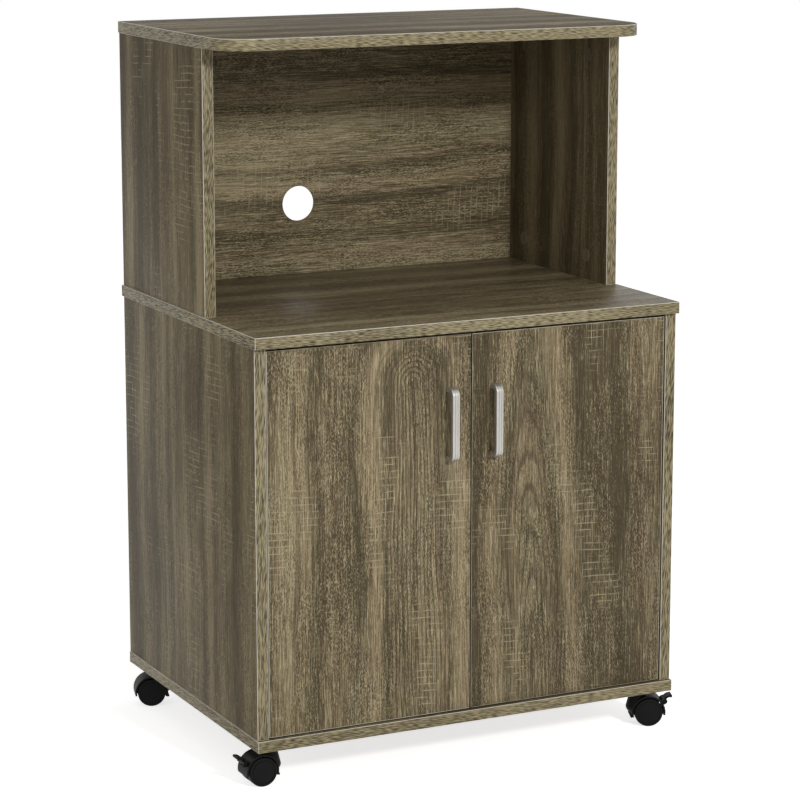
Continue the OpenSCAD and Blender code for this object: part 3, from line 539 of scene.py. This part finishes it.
def textured_material(name, color, roughness, metallic=0.0, size=0.0006, relief=0.00001,
                      cloud=0.15, gloss=0.5):
    """Moulded plastic or plated metal with a fine texture and faint cloudiness."""
    if name in bpy.data.materials:
        return bpy.data.materials[name]
    material, tree, shader, vector = new_material(name)
    fine = tree.add("ShaderNodeGroup", node_tree=mould_group())
    tree.fill(fine, {"Vector": vector, "Grain Size": size, "Roughness": roughness,
                     "Spread": ROUGHNESS_SPREAD})
    clouded = tree.mix(fine.outputs["Cloud"], darker(color, cloud), (*color, 1))
    tree.fill(shader, {"Base Color": clouded, "Roughness": fine.outputs["Roughness"],
                       "Metallic": metallic, "Specular IOR Level": gloss})
    set_bump(tree, shader, fine.outputs["Height"], relief)
    return material


def core_material():
    """Chipboard as it shows inside the holes."""
    look = bpy.context.scene.cart_boards
    return textured_material("chipboard_core", look.core_color, 0.85, size=0.0016,
                             relief=0.0002, cloud=0.45)


def zinc_material():
    """Bright zinc plating."""
    look = bpy.context.scene.cart_metal
    return textured_material("zinc_plating", look.zinc_color, look.zinc_roughness, 1.0,
                             size=0.0009, relief=0.000006, cloud=0.12)


def black_material():
    """Black moulded plastic."""
    look = bpy.context.scene.cart_plastic
    return textured_material("black_moulding", look.black_color, look.black_roughness,
                             size=0.0005, relief=0.00002, cloud=0.2, gloss=0.12)


def handle_material():
    """Satin nickel with fine brushing along the bar."""
    if "satin_nickel" in bpy.data.materials:
        return bpy.data.materials["satin_nickel"]
    look = bpy.context.scene.cart_metal
    material, tree, shader, vector = new_material("satin_nickel")
    brushed = tree.level(tree.noise(vector, (2600.0, 900.0, 60.0), 3.0), 0.3, 0.7)
    cloud = tree.level(tree.noise(vector, (70.0, 70.0, 20.0)), 0.3, 0.7)
    color = tree.mix(cloud, darker(look.handle_color, 0.1), (*look.handle_color, 1))
    tree.fill(shader, {"Base Color": color, "Metallic": 0.75,
                       "Roughness": tree.vary(look.handle_roughness, brushed, 0.12)})
    set_bump(tree, shader, brushed, 0.000006)
    return material


# ---------------------------------------------------------------- meshes


def select_only(piece):
    """Leaves just that piece selected and active."""
    bpy.ops.object.select_all(action="DESELECT")
    piece.select_set(True)
    bpy.context.view_layer.objects.active = piece


def copy_node(node, name, dissolve=False):
    """A copy of a CAD node's mesh, joined into one skin, as a piece of its own."""
    source = frame["nodes"][node]
    piece = bpy.data.objects.new(name, source.data.copy())
    piece.data.name = name
    bpy.context.scene.collection.objects.link(piece)
    piece.data.materials.clear()
    select_only(piece)
    bpy.ops.object.mode_set(mode="EDIT")
    bpy.ops.mesh.select_all(action="SELECT")
    bpy.ops.mesh.customdata_custom_splitnormals_clear()
    bpy.ops.mesh.remove_doubles(threshold=WELD)
    if dissolve:
        bpy.ops.mesh.dissolve_limited(angle_limit=math.radians(0.2))
    bpy.ops.object.mode_set(mode="OBJECT")
    return piece


def stand_for(piece, node):
    """The piece takes a CAD node's place and body."""
    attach(piece, BODY_OF[node])
    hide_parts(node)


def break_edges(piece, edges, width, material):
    """Rounds those edges, in a material of their own."""
    weights = piece.data.attributes.new("bevel_weight_edge", "FLOAT", "EDGE")
    for index in edges:
        weights.data[index].value = 1.0
    select_only(piece)
    bevel = piece.modifiers.new("edges", "BEVEL")
    bevel.width = width
    bevel.segments = 2
    bevel.limit_method = "WEIGHT"
    bevel.material = material
    bevel.use_clamp_overlap = False
    bpy.ops.object.modifier_apply(modifier=bevel.name)


def smooth(piece, angle):
    """Smooth shading across edges that are flatter than that angle."""
    select_only(piece)
    bpy.ops.object.shade_smooth_by_angle(angle=math.radians(angle))


def dress(node, material, angle=35):
    """A smooth copy of a CAD node in its finished material."""
    piece = copy_node(node, node + "_piece")
    piece.data.materials.append(material)
    smooth(piece, angle)
    stand_for(piece, node)


def from_rim(point, low, high, axis):
    """How far a point lies inside the board's outline, seen along its thin axis."""
    return min(min(point[i] - low[i], high[i] - point[i]) for i in range(3) if i != axis)


def rim_edges(piece, axis, low, high, rounded):
    """Long sharp edges on the board's outline, with the short ones of rounded corners."""
    mesh = piece.data
    faces = {}
    for face in mesh.polygons:
        for key in face.edge_keys:
            faces.setdefault(key, []).append(face.normal)
    found = []
    for edge in mesh.edges:
        ends = [mesh.vertices[i].co for i in edge.vertices]
        normals = faces.get(edge.key, ())
        if len(normals) != 2 or normals[0].dot(normals[1]) > 0.4:
            continue
        middle = (ends[0] + ends[1]) / 2
        inside = from_rim(middle, low, high, axis)
        outline = (ends[0] - ends[1]).length > LONG_EDGE and inside < ON_OUTLINE
        on_face = min(middle[axis] - low[axis], high[axis] - middle[axis]) < ON_FACE
        if outline or (rounded and on_face and inside < CORNER_REACH):
            found.append(edge.index)
    return found


def make_board(node, board):
    """A board: decor on its two faces, edge band round it, broken edges with a painted
    highlight, core in its holes.
    """
    look = bpy.context.scene.cart_boards
    piece = copy_node(node, node + "_board", dissolve=True)
    # Painted highlight on the rounded edges.
    line = textured_material("painted_edge_highlight", look.line_color, 0.4, size=0.0008, cloud=0.1)
    for material in (decor_material("decor_" + node, board),
                     band_material("edge_band_" + "xyz"[board.axis], board.axis), line,
                     core_material()):
        piece.data.materials.append(material)
    low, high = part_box(node)
    for face in piece.data.polygons:
        if abs(face.normal[board.axis]) > 0.9:
            face.material_index = DECOR
        elif from_rim(face.center, low, high, board.axis) < CORNER_REACH:
            face.material_index = EDGE_BAND
        else:
            face.material_index = CORE
    edges = rim_edges(piece, board.axis, low, high, rounded=node == "top_board")
    break_edges(piece, edges, look.edge_radius, EDGE_HIGHLIGHT)

    # The painted highlight is left off the lower edges of a board that lies flat, which face
    # away from the light.
    for face in piece.data.polygons:
        if board.axis == 2 and face.material_index == EDGE_HIGHLIGHT and face.normal.z < -0.1:
            face.material_index = EDGE_BAND
    smooth(piece, 25)
    stand_for(piece, node)


# ---------------------------------------------------------------- operators


class CART_OT_cabinet_boards(bpy.types.Operator):
    """Boards of the cabinet and its shelf"""

    bl_idname = "cart.cabinet_boards"
    bl_label = "Cabinet boards"
    bl_options = {"REGISTER", "UNDO"}

    def execute(self, context):
        for node, board in CABINET_BOARDS.items():
            make_board(node, board)
        return {"FINISHED"}


class CART_OT_hutch_boards(bpy.types.Operator):
    """Sides, back and top of the hutch"""

    bl_idname = "cart.hutch_boards"
    bl_label = "Hutch boards"
    bl_options = {"REGISTER", "UNDO"}

    def execute(self, context):
        for node, board in HUTCH_BOARDS.items():
            make_board(node, board)
        return {"FINISHED"}


class CART_OT_doors(bpy.types.Operator):
    """The two doors"""

    bl_idname = "cart.doors"
    bl_label = "Doors"
    bl_options = {"REGISTER", "UNDO"}

    def execute(self, context):
        for node, board in DOOR_BOARDS.items():
            make_board(node, board)
        return {"FINISHED"}


class CART_OT_handles(bpy.types.Operator):
    """Bar handles and their screws"""

    bl_idname = "cart.handles"
    bl_label = "Handles"
    bl_options = {"REGISTER", "UNDO"}

    def execute(self, context):
        for side in ("left", "right"):
            dress(side + "_handle", handle_material(), 40)
            dress(side + "_handle_screws", zinc_material())
        return {"FINISHED"}


class CART_OT_hinges(bpy.types.Operator):
    """Hinge pins, bushes, strike plates and the magnetic catch"""

    bl_idname = "cart.hinges"
    bl_label = "Hinges and catch"
    bl_options = {"REGISTER", "UNDO"}

    def execute(self, context):
        for side in ("left", "right"):
            dress(side + "_hinge_pins", zinc_material())
            dress(side + "_hinge_bushes", black_material())
            dress(side + "_strike_plate", zinc_material())
            dress(side + "_strike_screw", zinc_material())
        dress("catch_body", black_material())
        magnet = textured_material("dark_magnet", srgb(96, 96, 99), 0.5, 0.6, cloud=0.3)
        dress("catch_magnets", magnet)
        dress("catch_screws", zinc_material())
        return {"FINISHED"}


class CART_OT_fasteners(bpy.types.Operator):
    """Cam locks, bolts, covers, dowels and shelf pins"""

    bl_idname = "cart.fasteners"
    bl_label = "Fasteners"
    bl_options = {"REGISTER", "UNDO"}

    def execute(self, context):
        look = context.scene.cart_plastic
        for node in ("cam_locks", "cam_bolts", "shelf_pins"):
            dress(node, zinc_material())
        cover = textured_material("cover_moulding", look.cover_color, 0.5, size=0.002,
                                  cloud=0.3)
        dress("cam_covers", cover)
        beech = textured_material("raw_beech", srgb(205, 173, 130), 0.7, size=0.0012,
                                  relief=0.00005, cloud=0.25)
        dress("dowels", beech)
        return {"FINISHED"}


class CART_OT_casters(bpy.types.Operator):
    """Plates, hoods, wheels and brake levers of the casters"""

    bl_idname = "cart.casters"
    bl_label = "Casters"
    bl_options = {"REGISTER", "UNDO"}

    def execute(self, context):
        for node in ("caster_plates", "caster_screws", "swivel_pins"):
            dress(node, zinc_material())
        for caster in CASTERS:
            dress(caster + "_hood", black_material(), 40)
            dress(caster + "_axle", zinc_material())
            dress(caster + "_wheel_left", black_material(), 40)
            dress(caster + "_wheel_right", black_material(), 40)
            if caster.startswith("front"):
                dress(caster + "_brake_lever", black_material(), 40)
                dress(caster + "_lever_pin", black_material())
        return {"FINISHED"}


def area_light(name, place, aim, size, power):
    """A soft round light that points at a spot."""
    bpy.ops.object.select_all(action="DESELECT")
    bpy.ops.object.light_add(type="AREA", location=place)
    lamp = bpy.context.object
    lamp.name = name
    lamp.data.name = name
    lamp.data.shape = "DISK"
    lamp.data.size = size
    lamp.data.energy = power
    lamp.rotation_euler = (Vector(aim) - Vector(place)).to_track_quat("-Z", "Y").to_euler()


def seen_directly(tree):
    """1 for rays from the camera, from gloss and from glass, otherwise 0."""
    rays = tree.add("ShaderNodeLightPath").outputs
    seen = tree.math("MAXIMUM", rays["Is Camera Ray"], rays["Is Glossy Ray"])
    return tree.math("MAXIMUM", seen, rays["Is Transmission Ray"])


class CART_OT_stage(bpy.types.Operator):
    """Floor, white surround, lights and camera"""

    bl_idname = "cart.stage"
    bl_label = "Stage"
    bl_options = {"REGISTER", "UNDO"}

    def execute(self, context):
        scene = context.scene
        look = scene.cart_stage
        bpy.ops.object.select_all(action="DESELECT")
        bpy.ops.mesh.primitive_circle_add(vertices=96, radius=7.0, fill_type="NGON")
        floor = context.object
        floor.name = "floor"
        material, tree, shader, vector = new_material("pale_floor")
        shade = tree.level(tree.noise(vector, (3.0, 3.0, 3.0)), 0.3, 0.7)
        color = tree.mix(shade, darker(look.floor_color, 0.015), (*look.floor_color, 1))
        lift = tree.math("MULTIPLY", seen_directly(tree), look.floor_lift)
        tree.fill(shader, {"Base Color": color, "Roughness": 0.9, "Specular IOR Level": 0.2,
                           "Emission Color": WHITE, "Emission Strength": lift})
        floor.data.materials.append(material)

        world = bpy.data.worlds.new("surround")
        scene.world = world
        world.use_nodes = True
        world.node_tree.nodes.clear()
        sky = Tree(world.node_tree)
        strength = sky.level(seen_directly(sky), 0.0, 1.0, look.surround, 1.0)
        back = sky.add("ShaderNodeBackground", {"Color": WHITE, "Strength": strength})
        sky.add("ShaderNodeOutputWorld", {"Surface": back.outputs[0]})

        area_light("main_light", (0.25, -3.6, 2.2), LIGHT_AIM, 0.5, look.key_power)
        area_light("side_light", (-3.2, -1.2, 1.6), LIGHT_AIM, 2.0, look.fill_power)

        bpy.ops.object.camera_add(location=look.camera_place, rotation=(
            math.pi / 2 - look.camera_tilt, 0, -look.camera_turn))
        camera = context.object
        camera.name = "camera"
        camera.data.sensor_width = 36
        camera.data.lens = look.camera_lens
        camera.data.shift_y = look.camera_shift
        camera.data.clip_end = 60
        scene.camera = camera
        scene.view_settings.view_transform = "Standard"
        return {"FINISHED"}


class CART_PT_panel(bpy.types.Panel):
    """Lists the steps and settings of the cart"""

    bl_idname = "CART_PT_panel"
    bl_label = "Microwave cart"
    bl_space_type = "VIEW_3D"
    bl_region_type = "UI"
    bl_category = "Cart"

    def draw(self, context):
        for step in STEPS:
            self.layout.operator(step.bl_idname)
        for label, settings in (("Boards", context.scene.cart_boards),
                                ("Metal", context.scene.cart_metal),
                                ("Plastic", context.scene.cart_plastic),
                                ("Stage", context.scene.cart_stage)):
            box = self.layout.box()
            box.label(text=label)
            for name in type(settings).__annotations__:
                box.prop(settings, name)


STEPS = (CART_OT_cabinet_boards, CART_OT_hutch_boards, CART_OT_doors, CART_OT_handles,
         CART_OT_hinges, CART_OT_fasteners, CART_OT_casters, CART_OT_stage)
SETTINGS = (("cart_boards", BoardLook), ("cart_metal", MetalLook),
            ("cart_plastic", PlasticLook), ("cart_stage", StageLook))


def register():
    """Makes the settings, operators and panel known to Blender."""
    for name, kind in SETTINGS:
        bpy.utils.register_class(kind)
        setattr(bpy.types.Scene, name, bpy.props.PointerProperty(type=kind))
    for kind in (*STEPS, CART_PT_panel):
        bpy.utils.register_class(kind)


def unregister():
    """Takes them away again."""
    for kind in reversed((*STEPS, CART_PT_panel)):
        bpy.utils.unregister_class(kind)
    for name, kind in reversed(SETTINGS):
        delattr(bpy.types.Scene, name)
        bpy.utils.unregister_class(kind)


def main():
    """Runs every step in order."""
    register()
    for step in STEPS:
        category, name = step.bl_idname.split(".")
        getattr(getattr(bpy.ops, category), name)()


if __name__ == "__main__":
    main()
